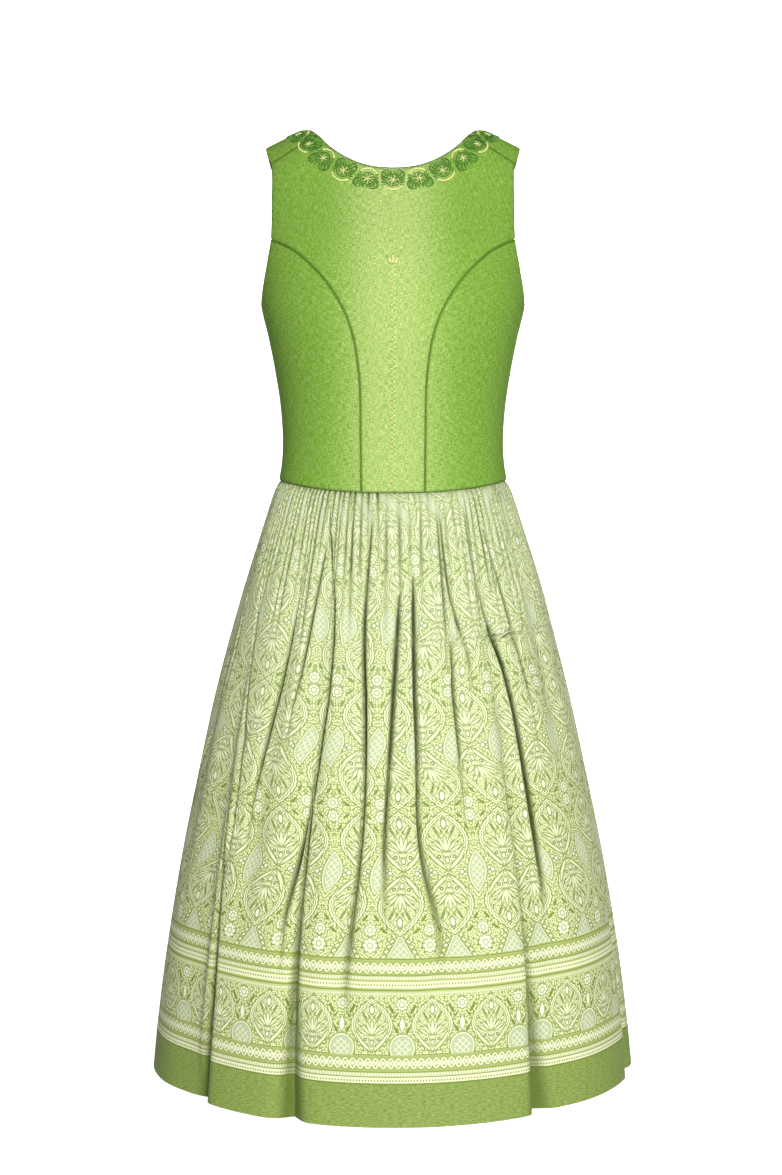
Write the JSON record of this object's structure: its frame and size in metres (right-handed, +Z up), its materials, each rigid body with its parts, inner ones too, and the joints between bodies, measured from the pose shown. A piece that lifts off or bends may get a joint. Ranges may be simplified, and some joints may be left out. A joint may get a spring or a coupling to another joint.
{
  "type": "dirndl dress",
  "caption": "Sleeveless dirndl dress, worn form with no wearer: fitted bodice with scooped neck and princess seams over a long gathered skirt.",
  "frame": {"origin": "midway between the shoulders, level with the neck ends of the shoulder ridges, where the wearer holds the dress up", "axes": "+Z up; the front faces -Y; +X is to the right as seen from the front"},
  "size_m": [0.5489, 0.466, 1.0905],
  "materials": {
    "bodice_cloth": "woven, heathered green",
    "piping": "woven green bias strip",
    "skirt_cloth": "printed cotton, matt",
    "zip_metal": "green enamel, satin"
  },
  "bodies": {
    "dress": {"centre_front": "bodice_cloth", "side_front_right": "bodice_cloth", "side_front_left": "bodice_cloth", "side_back_right": "bodice_cloth", "side_back_left": "bodice_cloth", "centre_back_right": "bodice_cloth", "centre_back_left": "bodice_cloth", "neck_piping": "piping", "princess_piping_right": "piping", "princess_piping_left": "piping", "skirt_front": "skirt_cloth", "skirt_right": "skirt_cloth", "skirt_left": "skirt_cloth", "skirt_back_right": "skirt_cloth", "skirt_back_left": "skirt_cloth", "zip_slider": "zip_metal", "zip_bridge": "zip_metal"},
    "pull": {"zip_tab": "zip_metal"}
  },
  "joints": [
    {"name": "pull_swing", "type": "hinge", "parent": "dress", "child": "pull", "pos_m": [0, 0.07503, -0.06282], "axis": [1, 0, 0], "range_deg": [0, 150]}
  ]
}
